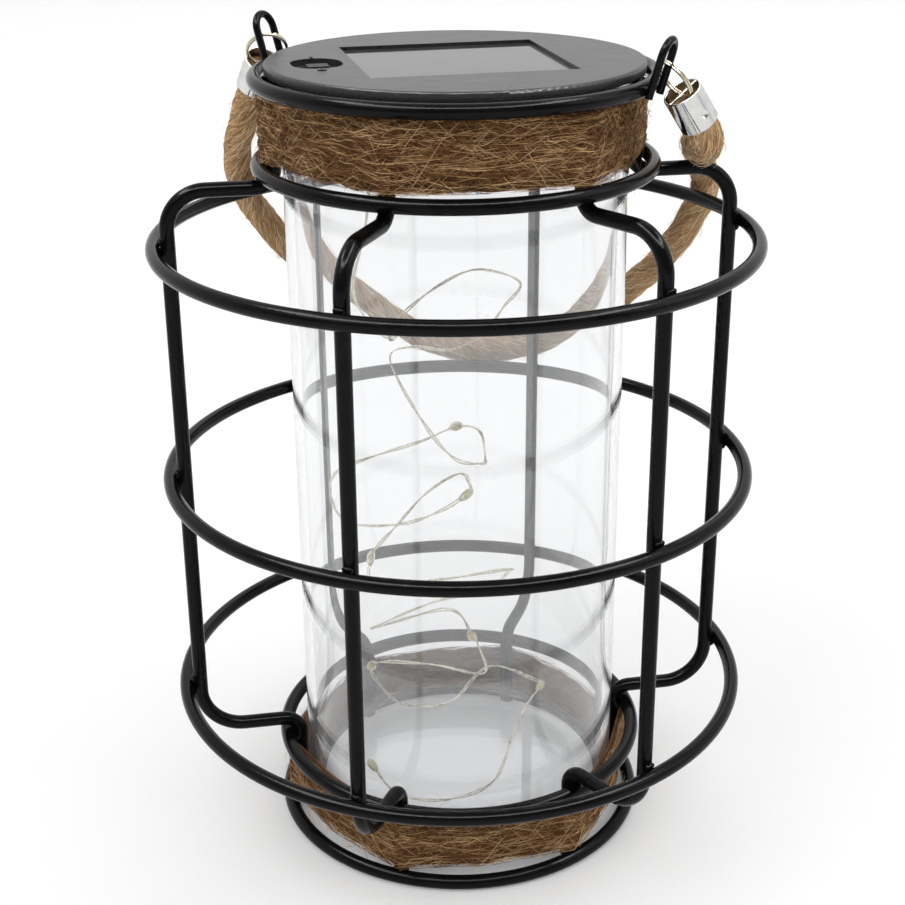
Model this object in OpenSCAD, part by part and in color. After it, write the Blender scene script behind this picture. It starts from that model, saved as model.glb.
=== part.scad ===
// Wire cage lantern: a plain glass jar in a welded wire cage, with a solar lid,
// a string of small lights inside, two jute wraps and a jute rope handle.
// Millimetres, Z up, origin on the floor under the middle of the jar.
// Angles around the lantern run from the front (-Y) toward the right (+X).

/* [Cage wire] */
// Thickness of the cage wire
wire_d = 4; // [3:0.1:6]
// How far two welded wires bite into each other
weld_bite = 0.05; // [0:0.01:0.3]
// Big hoop diameter, to the middle of the wire
hoop_d = 160; // [140:1:200]
// Small ring diameter, to the middle of the wire
small_ring_d = 103.2; // [90:0.2:130]
// Turn of the first rib from the front
rib_turn = -20; // [-60:1:60]

/* [Cage heights] */
// Height of the base ring, middle of the wire
base_ring_z = 24; // [18:0.5:34]
// Height of the lower hoop, middle of the wire
lower_hoop_z = 43; // [38:0.5:60]
// Height of the middle hoop, middle of the wire
middle_hoop_z = 108; // [80:0.5:130]
// Height of the upper hoop, middle of the wire
upper_hoop_z = 173; // [150:0.5:180]
// Height of the neck ring, middle of the wire
neck_ring_z = 193.2; // [185:0.1:205]
// Height of the top ring, middle of the wire
top_ring_z = 215.5; // [208:0.5:240]
// Radius of the small bends beside the neck and base rings
hook_bend_r = 5; // [4.5:0.1:8]
// Radius of the upper outer bend of a rib
shoulder_bend_r = 10.5; // [6:0.5:14]
// Radius of the lower outer bend of a rib
ankle_bend_r = 12; // [6:0.5:13]
// How far the rib ends stop below the top of the top ring
post_top_drop = 1; // [0.5:0.1:4]
// How far the rib ends stop above the floor
post_foot_lift = 0.8; // [0.4:0.1:2]

/* [Eyelets] */
// Thickness of the eyelet wire
eye_wire = 2; // [1.5:0.1:3]
// Eyelet width, to the middle of the wire
eye_w = 8; // [7:0.1:9]
// Height of the middle of the eyelet arch above the top ring
eye_rise = 8; // [6:0.1:12]
// How far the eyelet legs reach below the middle of the top ring
eye_leg_drop = 1.8; // [0:0.1:6]
// Turn of the right eyelet from the front
eye_turn = 64; // [60:1:68]
// Outward tilt of the eyelets
eye_tilt = 16; // [8:0.5:18]

/* [Glass jar] */
// Gap between the jar and the posts round it
jar_post_gap = 0.25; // [0.15:0.05:5.65]
// Wall of the jar
jar_wall = 2.6; // [2:0.1:4]
// Thickness of the jar floor
jar_floor = 4; // [3:0.1:7]
// Rounding of the jar's bottom corner
jar_corner_r = 10; // [8:0.5:14]
// Height of the jar's underside above the floor
jar_lift = 4; // [3:0.1:8]
// Gap between the jar and what it rests on
rest_gap = 0.3; // [0.1:0.05:0.6]
// Thickness of the wire ring the jar rests on
rest_wire = 3; // [2:0.1:4]

/* [Jute wraps] */
// Thickness of a jute wrap over the posts
wrap_t = 1.8; // [1:0.1:3]
// Gap between a wrap and the glass
wrap_glass_gap = 0.3; // [0.1:0.05:1]
// Gap between a wrap and the wires above and below it
wrap_end_gap = 0.3; // [0.1:0.05:2]
// Gap between a wrap and the posts it goes round
wrap_post_gap = 0.05; // [0.02:0.01:0.5]

/* [Lid] */
// Gap between the lid's rim and the inside of the top ring
lid_ring_gap = 0.6; // [0.4:0.1:3.1]
// Gap between the rib ends and the lid
lid_post_gap = 0.5; // [0.3:0.05:1]
// Thickness of the lid's rim
lid_rim_t = 2.5; // [1.8:0.1:4]
// Rounding of the lid's top edge
lid_edge_r = 0.8; // [0.3:0.1:1.5]
// Gap between the lid rim and the glass under it
lid_seat_gap = 0.3; // [0.1:0.05:0.6]
// Thickness of the deck over the lid's inside
lid_deck_t = 3.5; // [3.2:0.1:5]
// How far the lid's skirt reaches below the rim
skirt_drop = 11; // [10.5:0.5:20]
// Wall of the skirt
skirt_wall = 1.8; // [1.2:0.1:3]
// Gap between the skirt and the glass
skirt_gap = 0.5; // [0.3:0.05:1.5]
// Thickness of the cover under the lid
underside_t = 1.6; // [1.2:0.1:3]
// Turn of the lid
lid_turn = 12.5; // [-30:0.5:30]
// Gap between the seal and the glass
seal_gap = 0.1; // [0.05:0.01:0.2]
// Height of the seal
seal_h = 1.6; // [1:0.1:3]

/* [Solar panel] */
// Width of the panel
panel_w = 52; // [40:0.5:54]
// Depth of the panel
panel_depth = 49; // [40:0.5:52]
// Thickness of the cell plate
cell_t = 0.8; // [0.5:0.1:1.2]
// Thickness of the clear window over the cell
window_t = 0.6; // [0.4:0.1:1]
// How far the window lies below the top of the lid
window_sink = 0.9; // [0.3:0.1:1.2]
// Gap round the panel in its pocket
panel_gap = 0.25; // [0.1:0.05:0.6]

/* [Switch] */
// Gap between the switch case and the skirt
switch_wall_gap = 0.9; // [0.2:0.1:2.2]
// Width of the switch dish
dish_w = 13; // [11:0.1:14]
// Length of the switch dish
dish_l = 16; // [14.5:0.1:18]
// Depth of the switch dish
dish_depth = 1.6; // [1:0.1:2]
// Width of the slider knob
knob_w = 5.4; // [4:0.1:6]
// Length of the slider knob
knob_l = 4.4; // [3:0.1:5]
// How far the knob stands out of the dish
knob_h = 1.5; // [1:0.1:2]
// Travel of the slider
knob_travel = 4; // [2:0.1:4.5]
// Gap round the slider
knob_gap = 0.3; // [0.2:0.05:0.5]
// Width of the switch case
switch_w = 7.6; // [7.2:0.1:8]
// Length of the switch case
switch_l = 12.4; // [12:0.1:14]
// Height of the switch marks
mark_h = 0.25; // [0.1:0.05:0.5]

/* [Lid inside] */
// Diameter of the battery
battery_d = 8; // [7:0.1:8.2]
// Length of the battery
battery_l = 44; // [30:0.5:45]
// Distance of the battery from the middle of the lid
battery_y = 18; // [16:0.5:20]
// Width of the circuit board
board_w = 26; // [20:0.5:27]
// Depth of the circuit board
board_l = 20; // [17:0.5:22]
// Thickness of the circuit board
board_t = 1.2; // [0.8:0.1:2]
// Gap between the circuit board and the skirt at its middle
board_edge_gap = 2; // [1.6:0.1:4]
// Height of the circuit board above the cover
board_lift = 3.2; // [2:0.1:4]
// Wire of the battery spring
spring_wire = 0.7; // [0.4:0.05:0.9]
// Diameter of the battery spring, to the middle of its wire
spring_d = 5; // [4:0.1:6]
// Turns of the battery spring
spring_turns = 5; // [3:1:6]
// Thickness of the battery contact plate
contact_t = 0.4; // [0.2:0.05:0.8]
// Width of the battery door
door_w = 52; // [50:0.5:54]
// Depth of the battery door
door_l = 11; // [10:0.5:12]
// Gap round the battery door
door_gap = 0.3; // [0.15:0.05:0.6]
// Diameter of the screw shanks
screw_d = 2.2; // [1.8:0.1:3]
// Diameter of the screw heads
screw_head_d = 4; // [3.4:0.1:5]
// Height of the screw heads
screw_head_h = 0.8; // [0.5:0.1:1]
// Length of the lid screws under their heads
lid_screw_l = 6; // [4:0.1:7.5]
// Distance of the lid screws from the inside of the skirt
lid_screw_inset = 4; // [3.5:0.1:6.5]
// Outside diameter of the screw posts
boss_d = 5.6; // [4.6:0.1:7]
// Outside diameter of the wire grommet
grommet_d = 7; // [5:0.1:9]
// Distance of the wire grommet from the inside of the skirt
grommet_inset = 10.8; // [8:0.1:14]
// Turn of the wire grommet from the right of the lid
grommet_turn = 212.6; // [209:0.1:216]
// How far the grommet stands below the cover
grommet_lip = 0.8; // [0.4:0.1:2]

/* [Light string] */
// Thickness of the light string
string_d = 1.2; // [0.8:0.1:2]
// Diameter of a light
light_d = 3.2; // [2:0.1:4]

/* [Handle] */
// Thickness of the rope
rope_d = 8.6; // [6:0.1:8.8]
// Wire of the split rings
ring_wire = 0.9; // [0.7:0.05:1]
// Split ring diameter, to the middle of the wire
split_ring_d = 10.8; // [10.4:0.1:11]
// Height of the handle's swing line above the middle of the top ring
pivot_rise = 6.5; // [6.3:0.1:7]
// Slope of the split rings below the horizontal
link_slope = 60; // [50:1:62]
// Outward lean of the split rings
link_lean = 20; // [18:1:24]
// Roll of the split rings about their own line
link_roll = 30; // [24:1:34]
// Turn of the left cap round its split ring
left_cap_turn = 15; // [0:1:25]
// Turn of the right cap round its split ring
right_cap_turn = 0; // [0:1:15]
// Outside diameter of a rope cap
cap_od = 10; // [9.9:0.1:11]
// Gap between the rope and the inside of its cap
cap_rope_gap = 0.2; // [0.1:0.05:0.3]
// Length of a rope cap
cap_len = 10; // [8:0.1:12]
// Diameter of the cross pin in a rope cap
pin_d = 0.9; // [0.7:0.05:1]
// Gap between the cross pin and the split ring
pin_gap = 0.05; // [0.02:0.01:0.1]
// How far the cap's mouth stands over the cross pin
mouth_over_pin = 0.05; // [0.05:0.01:0.1]
// Depth of the crimp dent in a rope cap
dent_depth = 0.35; // [0.1:0.05:0.5]

/* [Hidden] */
$fn = 72;
wire_r = wire_d / 2;
hoop_r = hoop_d / 2;
small_ring_r = small_ring_d / 2;
foot_ring_z = wire_r;
rib_r = hoop_r - wire_d + weld_bite;
post_r = small_ring_r - wire_d + weld_bite;
rib_count = 6;
shoulder_z = neck_ring_z - hook_bend_r;
ankle_z = base_ring_z + hook_bend_r;
post_top_z = top_ring_z + wire_r - post_top_drop;

eye_half = eye_w / 2;
eye_foot_z = top_ring_z - eye_leg_drop;
eye_reach = (wire_r + eye_wire / 2 - weld_bite) / cos(eye_tilt) - tan(eye_tilt) * eye_leg_drop;
eye_foot_r = sqrt(pow(small_ring_r, 2) - pow(eye_half, 2)) + eye_reach;
eye_leg = (eye_rise + eye_leg_drop) / cos(eye_tilt);

jar_r = post_r - wire_r - jar_post_gap;
jar_bore_r = jar_r - jar_wall;
rest_ring_r = post_r - wire_r - rest_wire / 2 + weld_bite;
jar_corner_in = jar_r - jar_corner_r;
rest_reach = jar_corner_r + rest_wire / 2 + rest_gap;
rest_ring_z = jar_lift + jar_corner_r - sqrt(pow(rest_reach, 2) - pow(rest_ring_r - jar_corner_in, 2));
lid_under_z = post_top_z + lid_post_gap;
lid_top_z = lid_under_z + lid_rim_t;
jar_top_z = lid_under_z - lid_seat_gap;
jar_inner_corner_r = jar_corner_r - jar_wall;

lid_r = small_ring_r - wire_r - lid_ring_gap;
deck_under_z = lid_top_z - lid_deck_t;
skirt_r = jar_bore_r - skirt_gap;
skirt_in_r = skirt_r - skirt_wall;
switch_r = skirt_in_r - switch_w / 2 - switch_wall_gap;
skirt_bottom_z = lid_under_z - skirt_drop;
cover_under_z = skirt_bottom_z - underside_t;
seal_z = lid_under_z - skirt_drop / 2;
window_top_z = lid_top_z - window_sink;
cell_top_z = window_top_z - window_t;
pocket_z = cell_top_z - cell_t;

dish_z = lid_top_z - dish_depth;
switch_top_z = deck_under_z;
board_under_z = skirt_bottom_z + board_lift;
board_top_z = board_under_z + board_t;
board_x = board_w / 2 + board_edge_gap - skirt_in_r;
lid_screw_r = skirt_in_r - lid_screw_inset;
knob_slot_l = knob_l + knob_travel + 2 * knob_gap;
knob_slot_w = knob_w + 2 * knob_gap;
knob_rest_y = -knob_travel / 2;

battery_z = skirt_bottom_z + battery_d / 2 + 0.3;
battery_x = 2;
spring_len = spring_turns * (spring_wire - 0.04) + 0.04;
contact_left_x = battery_x - battery_l / 2;
contact_right_x = battery_x + battery_l / 2 + spring_len;
grommet_r = skirt_in_r - grommet_inset;
grommet_x = grommet_r * cos(grommet_turn);
grommet_y = grommet_r * sin(grommet_turn);
grommet_bore = string_d + 0.4;
door_screw_x = 0;
door_screw_y = battery_y - door_l / 2 - 4.4;
lid_screw_turns = [90, 205, 335];

link_r = split_ring_d / 2;
pivot_z = top_ring_z + pivot_rise;
pivot_r = eye_foot_r + tan(eye_tilt) * (pivot_z - eye_foot_z);
cap_id = rope_d + 2 * cap_rope_gap;
cap_wall = (cap_od - cap_id) / 2;
pin_out = link_r - ring_wire / 2 - pin_gap - pin_d / 2;
mouth_out = pin_out - pin_d / 2 - mouth_over_pin;

// rope centre line, right cap to left cap
rope_points = [
    [56.8, -21.5, 212.3], [58.6, -20.5, 209.5], [61.6, -18.9, 204.6], [63.3, -15.6, 200.7], [64, -8.5, 197.9],
    [64.2, 1, 196.6], [64.8, 12, 195.4], [66.4, 24, 191.6], [69, 35, 186.2], [71.8, 43, 180.5], [73, 49, 172.5],
    [70.6, 52.8, 164.5], [66.8, 56.4, 156], [61, 62, 146], [54.7, 67.7, 138], [45.5, 74.2, 127.5], [36.8, 78.9, 120],
    [27, 82.8, 115], [17.3, 85.3, 112.4], [7.6, 86.9, 111.4], [-2.3, 87.2, 112.5], [-12.1, 86.3, 116],
    [-21.8, 84.3, 122.5], [-31.2, 81.2, 130], [-39.9, 77.3, 137.5], [-47.4, 73, 145], [-53.2, 69.4, 152],
    [-58.2, 65.8, 159.5], [-62.2, 62.6, 167], [-64.6, 58.6, 175], [-64.4, 52.4, 183.5], [-62.2, 45.6, 191.5],
    [-59.3, 39.7, 199], [-56.9, 35.9, 205.1], [-54.7, 32.9, 209.8], [-53.5, 31.1, 212.5]];

// light string centre line, from the circuit board down through the grommet
string_points = [
    [-21.1, -15.9, 209.8], [-21, -19, 209.6], [-20.9, -21, 207.8], [-20.9, -21, 201], [-21.5, -21.5, 190],
    [-23, -22, 179], [-26, -24, 166.5], [-23.5, -22, 157.5], [-18.5, -17, 150.5], [-16.5, -15, 150.5],
    [-14.5, -12, 154.5], [-4.5, -6, 161], [6, 0, 163.5], [17.5, 6, 158], [13, 12, 149], [7.5, 16, 140], [-2, 14, 136],
    [-11.5, 8, 139], [-18, -2, 140.5], [-16, -10, 136], [-7.5, -18, 124], [-0.5, -22, 117.5], [6.5, -17, 114],
    [7.5, -14.5, 114.5], [6, -8, 120], [-0.5, 0, 118], [-10.5, 8, 110.5], [-26, 14, 103], [-35, 6, 102],
    [-36, -4, 99.5], [-30.5, -12, 94.5], [-16, -20, 97.5], [-5, -26, 104], [2.5, -22.5, 107.5], [3.5, -20, 108.5],
    [0.5, -12, 109], [-9, -4, 99.5], [-17.5, 6, 85.5], [-25, 11.5, 74.5], [-26, 10.5, 72], [-25, 4, 67],
    [-5, -8, 74.5], [13, -19, 83], [13.5, -21.5, 83.5], [8, -28, 82], [-7.5, -30, 78.5], [-22.5, -24.5, 68.5],
    [-22, -23, 67.5], [-2.5, -14, 68], [4, -7, 55.5], [5.5, -8, 53.5], [7, -18, 49.5], [-8, -30, 59.5],
    [-24.5, -20, 53.5], [-17.5, -8, 34], [-3, 6, 25.5], [9.5, 18, 31], [24.5, 16, 27], [25.5, 14.5, 26],
    [20, 4, 24.5], [15.5, -12, 24.5], [9.5, -24, 17], [-4, -27, 13], [-18, -22, 12], [-27, -9, 15]];
light_spots = [9, 25, 33, 39, 49, 53, 58, 64];

// Node to build

// a tube of a given radius swept along a list of points
function unit(v) = v / norm(v);
function way(p, i) = unit(p[min(i + 1, len(p) - 1)] - p[max(i - 1, 0)]);
function side_of(t) = abs(t[2]) > 0.8 ? unit(cross(t, [0, 1, 0])) : unit(cross(t, [0, 0, 1]));
function carry(n, t) = unit(n - (n * t) * t);
function sides_along(p, i, n) = i == len(p) ? [] : let (m = carry(n, way(p, i))) concat([m], sides_along(p, i + 1, m));
function sweep_points(p, r, s) = let (m = sides_along(p, 0, side_of(way(p, 0))))
    [for (i = [0:len(p) - 1]) for (k = [0:s - 1])
        p[i] + r * (cos(360 * k / s) * m[i] + sin(360 * k / s) * cross(way(p, i), m[i]))];
function sweep_faces(n, s) = concat(
    [[for (k = [0:s - 1]) k]],
    [for (i = [0:n - 2]) for (k = [0:s - 1]) [i * s + k, (i + 1) * s + k, (i + 1) * s + (k + 1) % s]],
    [for (i = [0:n - 2]) for (k = [0:s - 1]) [i * s + k, (i + 1) * s + (k + 1) % s, i * s + (k + 1) % s]],
    [[for (k = [s - 1:-1:0]) (n - 1) * s + k]]);
module tube_along(p, r, s) {
    polyhedron(points = sweep_points(p, r, s), faces = sweep_faces(len(p), s), convexity = 12);
}

module wire_ring(r, z, d) {
    translate([0, 0, z])
        rotate_extrude()
            translate([r, 0])
                circle(d = d);
}

// quarter bend in the upright plane, centred on [x, z], from angle a to a + 90
module wire_bend(x, z, r, a, d) {
    translate([x, 0, z])
        rotate([90, 0, 0])
            rotate([0, 0, a])
                rotate_extrude(angle = 90)
                    translate([r, 0])
                        circle(d = d);
}

module wire_up(x, z1, z2, d) {
    translate([x, 0, z1])
        cylinder(h = z2 - z1, d = d);
}

module wire_out(x1, x2, z, d) {
    translate([x1, 0, z])
        rotate([0, 90, 0])
            cylinder(h = x2 - x1, d = d);
}

module rib(number) {
    rotate([0, 0, rib_turn + (number - 1) * 360 / rib_count - 90]) {
        wire_up(post_r, neck_ring_z, post_top_z, wire_d);
        wire_bend(post_r + hook_bend_r, neck_ring_z, hook_bend_r, 180, wire_d);
        wire_out(post_r + hook_bend_r, rib_r - shoulder_bend_r, shoulder_z, wire_d);
        wire_bend(rib_r - shoulder_bend_r, shoulder_z - shoulder_bend_r, shoulder_bend_r, 0, wire_d);
        wire_up(rib_r, ankle_z + ankle_bend_r, shoulder_z - shoulder_bend_r, wire_d);
        wire_bend(rib_r - ankle_bend_r, ankle_z + ankle_bend_r, ankle_bend_r, 270, wire_d);
        wire_out(post_r + hook_bend_r, rib_r - ankle_bend_r, ankle_z, wire_d);
        wire_bend(post_r + hook_bend_r, base_ring_z, hook_bend_r, 90, wire_d);
        wire_up(post_r, post_foot_lift, base_ring_z, wire_d);
    }
}

module eyelet(turn) {
    rotate([0, 0, turn - 90])
        translate([eye_foot_r, 0, eye_foot_z])
            rotate([0, eye_tilt, 0]) {
                for (s = [-1, 1])
                    translate([0, s * eye_half, 0])
                        cylinder(h = eye_leg, d = eye_wire);
                translate([0, 0, eye_leg])
                    rotate([90, 0, 90])
                        rotate_extrude(angle = 180)
                            translate([eye_half, 0])
                                circle(d = eye_wire);
            }
}

// outline of a wrap: round the posts at their corners and round the glass between them
module wrap_outline(post_round, glass_round) {
    hull() {
        for (i = [0:rib_count - 1])
            rotate([0, 0, rib_turn + i * 360 / rib_count - 90])
                translate([post_r, 0])
                    circle(r = post_round);
        circle(r = glass_round, $fn = 120);
    }
}

module jute_wrap(z1, z2) {
    translate([0, 0, z1])
        linear_extrude(z2 - z1)
            difference() {
                wrap_outline(wire_r + wrap_t, jar_r + wrap_glass_gap + wrap_t);
                wrap_outline(wire_r + wrap_post_gap, jar_r + wrap_glass_gap);
            }
}

module lid_place() {
    rotate([0, 0, lid_turn])
        children();
}

// puts its children at the middle of a split ring, Y pointing away from the eyelet, Z across the ring
module link_place(side) {
    rotate([0, 0, eye_turn - 90])
        translate([side * pivot_r, 0, pivot_z])
            rotate([-link_slope, 0, 0])
                rotate([0, 0, -side * link_lean])
                    rotate([0, side * link_roll, 0])
                        translate([0, link_r, 0])
                            children();
}

// puts its children at the middle of a split ring, Y along its rope cap
module cap_place(side) {
    link_place(side)
        rotate([0, 0, side > 0 ? -right_cap_turn : left_cap_turn])
            children();
}

module top_ring() {
    color("#1b1b1d")
        wire_ring(small_ring_r, top_ring_z, wire_d);
}

module neck_ring() {
    color("#1b1b1d")
        wire_ring(small_ring_r, neck_ring_z, wire_d);
}

module upper_hoop() {
    color("#1b1b1d")
        wire_ring(hoop_r, upper_hoop_z, wire_d);
}

module middle_hoop() {
    color("#1b1b1d")
        wire_ring(hoop_r, middle_hoop_z, wire_d);
}

module lower_hoop() {
    color("#1b1b1d")
        wire_ring(hoop_r, lower_hoop_z, wire_d);
}

module base_ring() {
    color("#1b1b1d")
        wire_ring(small_ring_r, base_ring_z, wire_d);
}

module foot_ring() {
    color("#1b1b1d")
        wire_ring(small_ring_r, foot_ring_z, wire_d);
}

module jar_rest_ring() {
    color("#1b1b1d")
        wire_ring(rest_ring_r, rest_ring_z, rest_wire);
}

module rib_1() {
    color("#1b1b1d")
        rib(1);
}

module rib_2() {
    color("#1b1b1d")
        rib(2);
}

module rib_3() {
    color("#1b1b1d")
        rib(3);
}

module rib_4() {
    color("#1b1b1d")
        rib(4);
}

module rib_5() {
    color("#1b1b1d")
        rib(5);
}

module rib_6() {
    color("#1b1b1d")
        rib(6);
}

module left_eyelet() {
    color("#1b1b1d")
        eyelet(eye_turn + 180);
}

module right_eyelet() {
    color("#1b1b1d")
        eyelet(eye_turn);
}

module neck_jute_wrap() {
    color("#8f6a41")
        jute_wrap(neck_ring_z + wire_r + wrap_end_gap, top_ring_z - wire_r - wrap_end_gap);
}

module base_jute_wrap() {
    color("#8f6a41")
        jute_wrap(foot_ring_z + wire_r + wrap_end_gap, base_ring_z - wire_r - wrap_end_gap);
}

module glass_jar() {
    color("#dfe7e6", 0.35)
        rotate_extrude()
            difference() {
                union() {
                    translate([0, jar_lift])
                        square([jar_corner_in, jar_corner_r]);
                    translate([0, jar_lift + jar_corner_r])
                        square([jar_r, jar_top_z - jar_wall / 2 - jar_lift - jar_corner_r]);
                    intersection() {
                        translate([jar_corner_in, jar_lift + jar_corner_r])
                            circle(r = jar_corner_r);
                        translate([jar_corner_in, jar_lift])
                            square([jar_corner_r, jar_corner_r]);
                    }
                    translate([jar_r - jar_wall / 2, jar_top_z - jar_wall / 2])
                        circle(d = jar_wall);
                }
                translate([0, jar_lift + jar_floor])
                    square([jar_corner_in, jar_inner_corner_r]);
                translate([0, jar_lift + jar_floor + jar_inner_corner_r])
                    square([jar_bore_r, jar_top_z - jar_lift]);
                intersection() {
                    translate([jar_corner_in, jar_lift + jar_floor + jar_inner_corner_r])
                        circle(r = jar_inner_corner_r);
                    translate([jar_corner_in, jar_lift + jar_floor])
                        square([jar_inner_corner_r, jar_inner_corner_r]);
                }
            }
}

module lid_boss(turn) {
    rotate([0, 0, turn])
        translate([lid_screw_r, 0, skirt_bottom_z])
            cylinder(h = deck_under_z - skirt_bottom_z, d = boss_d);
}

module lid_shell() {
    color("#202022")
        lid_place()
            difference() {
                union() {
                    rotate_extrude()
                        union() {
                            translate([0, deck_under_z])
                                square([skirt_r, lid_top_z - deck_under_z]);
                            translate([0, lid_under_z])
                                square([lid_r - lid_edge_r, lid_rim_t]);
                            translate([0, lid_under_z])
                                square([lid_r, lid_rim_t - lid_edge_r]);
                            translate([lid_r - lid_edge_r, lid_top_z - lid_edge_r])
                                circle(r = lid_edge_r);
                            translate([skirt_in_r, skirt_bottom_z])
                                square([skirt_wall, lid_under_z - skirt_bottom_z]);
                        }
                    for (turn = lid_screw_turns)
                        lid_boss(turn);
                    translate([door_screw_x, door_screw_y, skirt_bottom_z])
                        cylinder(h = deck_under_z - skirt_bottom_z, d = boss_d);
                }
                translate([0, 0, pocket_z + 5])
                    cube([panel_w + 2 * panel_gap, panel_depth + 2 * panel_gap, 10], center = true);
                translate([-switch_r, 0, dish_z])
                    linear_extrude(dish_depth + 1)
                        dish_outline();
                translate([-switch_r, 0, dish_z - 5])
                    linear_extrude(10)
                        square([knob_slot_w, knob_slot_l], center = true);
                rotate_extrude()
                    translate([skirt_r - 0.9, seal_z - seal_h / 2])
                        square([2, seal_h]);
                for (turn = lid_screw_turns)
                    rotate([0, 0, turn])
                        translate([lid_screw_r, 0, skirt_bottom_z - 1])
                            cylinder(h = lid_screw_l + 1, d = screw_d);
                translate([door_screw_x, door_screw_y, skirt_bottom_z - 1])
                    cylinder(h = lid_screw_l + 1, d = screw_d);
            }
}

module dish_outline() {
    for (s = [-1, 1])
        translate([0, s * (dish_l - dish_w) / 2])
            circle(d = dish_w);
    square([dish_w, dish_l - dish_w], center = true);
}

module solar_cell() {
    color("#3a4150")
        lid_place()
            translate([0, 0, pocket_z + cell_t / 2])
                cube([panel_w, panel_depth, cell_t], center = true);
}

module panel_window() {
    color("#c9ccd0")
        lid_place()
            translate([0, 0, cell_top_z + window_t / 2])
                cube([panel_w, panel_depth, window_t], center = true);
}

module lid_seal() {
    color("#3b3b3d")
        lid_place()
            rotate_extrude()
                translate([skirt_r - 0.9, seal_z - seal_h / 2])
                    square([skirt_gap - seal_gap + 0.9, seal_h]);
}

module lid_underside() {
    color("#232325")
        lid_place()
            difference() {
                translate([0, 0, cover_under_z])
                    cylinder(h = underside_t, r = skirt_r);
                for (turn = lid_screw_turns)
                    rotate([0, 0, turn])
                        translate([lid_screw_r, 0, cover_under_z - 1])
                            screw_room();
                translate([door_screw_x, door_screw_y, cover_under_z - 1])
                    screw_room();
                translate([grommet_x, grommet_y, cover_under_z - 1])
                    cylinder(h = underside_t + 2, d = grommet_d - 2);
                translate([0, battery_y, cover_under_z + underside_t / 2])
                    cube([door_w + 2 * door_gap, door_l + 2 * door_gap, underside_t + 2], center = true);
            }
}

// room for a flush screw in the cover
module screw_room() {
    cylinder(h = underside_t + 2, d = screw_d);
    cylinder(h = screw_head_h + 1, d = screw_head_d);
}

module flush_screw() {
    difference() {
        union() {
            cylinder(h = screw_head_h, d = screw_head_d);
            cylinder(h = underside_t + lid_screw_l - 0.4, d = screw_d);
        }
        translate([0, 0, 0.1])
            cube([screw_head_d * 0.6, 0.6, 1], center = true);
        translate([0, 0, 0.1])
            cube([0.6, screw_head_d * 0.6, 1], center = true);
    }
}

module lid_screws() {
    color("#8e8f92")
        lid_place()
            for (turn = lid_screw_turns)
                rotate([0, 0, turn])
                    translate([lid_screw_r, 0, cover_under_z])
                        flush_screw();
}

module circuit_board() {
    color("#1f5a3c")
        lid_place()
            translate([board_x, 0, board_under_z + board_t / 2])
                cube([board_w, board_l, board_t], center = true);
}

module switch_case() {
    color("#9a9ca0")
        lid_place()
            difference() {
                translate([-switch_r, 0, (board_top_z + switch_top_z) / 2])
                    cube([switch_w, switch_l, switch_top_z - board_top_z], center = true);
                translate([-switch_r, 0, switch_top_z])
                    cube([knob_slot_w, knob_slot_l, 4], center = true);
            }
}

module switch_slider() {
    color("#2a2a2c")
        lid_place()
            translate([-switch_r, knob_rest_y, 0])
                difference() {
                    translate([0, 0, (switch_top_z - 1.6 + dish_z + knob_h) / 2])
                        cube([knob_w, knob_l, dish_z + knob_h - switch_top_z + 1.6], center = true);
                    for (s = [-1, 0, 1])
                        translate([0, s * knob_l * 0.28, dish_z + knob_h])
                            cube([knob_w + 1, 0.5, 0.8], center = true);
                }
}

module switch_marks() {
    color("#4a4a4d")
        lid_place()
            translate([-switch_r, 0, lid_top_z]) {
                translate([0, dish_l / 2 + 2, mark_h / 2])
                    cube([0.6, 2.4, mark_h], center = true);
                translate([0, -dish_l / 2 - 2, 0])
                    difference() {
                        cylinder(h = mark_h, d = 2.4);
                        translate([0, 0, -1])
                            cylinder(h = 3, d = 1.2);
                    }
            }
}

module battery() {
    color("#3c7a4b")
        lid_place()
            translate([battery_x - battery_l / 2 + contact_t, battery_y, battery_z])
                rotate([0, 90, 0]) {
                    cylinder(h = battery_l - contact_t - 1, d = battery_d);
                    cylinder(h = battery_l - contact_t, d = battery_d * 0.36);
                }
}

module battery_spring() {
    color("#c0c2c6")
        lid_place()
            translate([battery_x + battery_l / 2, battery_y, battery_z])
                rotate([0, 90, 0])
                    for (i = [0:spring_turns - 1])
                        translate([0, 0, spring_wire / 2 + i * (spring_wire - 0.04)])
                            rotate_extrude()
                                translate([spring_d / 2, 0])
                                    circle(d = spring_wire, $fn = 24);
}

module battery_contact() {
    color("#c9a24a")
        lid_place() {
            translate([contact_left_x + contact_t / 2, battery_y, battery_z])
                cube([contact_t, battery_d - 0.6, battery_d - 0.6], center = true);
            translate([contact_right_x + contact_t / 2, battery_y, battery_z])
                cube([contact_t, battery_d - 0.6, battery_d - 0.6], center = true);
        }
}

module battery_door() {
    color("#2a2a2c")
        lid_place()
            difference() {
                translate([0, battery_y, cover_under_z + underside_t / 2])
                    cube([door_w, door_l, underside_t], center = true);
                translate([0, battery_y, cover_under_z])
                    cube([12, 1, 1], center = true);
            }
}

module battery_door_screw() {
    color("#8e8f92")
        lid_place()
            translate([door_screw_x, door_screw_y, cover_under_z])
                flush_screw();
}

module wire_grommet() {
    color("#141415")
        lid_place()
            translate([grommet_x, grommet_y, 0])
                difference() {
                    union() {
                        translate([0, 0, cover_under_z - grommet_lip])
                            cylinder(h = grommet_lip, d = grommet_d);
                        translate([0, 0, cover_under_z])
                            cylinder(h = underside_t, d = grommet_d - 2);
                        translate([0, 0, skirt_bottom_z])
                            cylinder(h = grommet_lip, d = grommet_d);
                    }
                    translate([0, 0, cover_under_z - grommet_lip - 1])
                        cylinder(h = underside_t + 2 * grommet_lip + 2, d = grommet_bore);
                }
}

module light_string() {
    color("#b9b3a0")
        tube_along(string_points, string_d / 2, 8);
}

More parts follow.
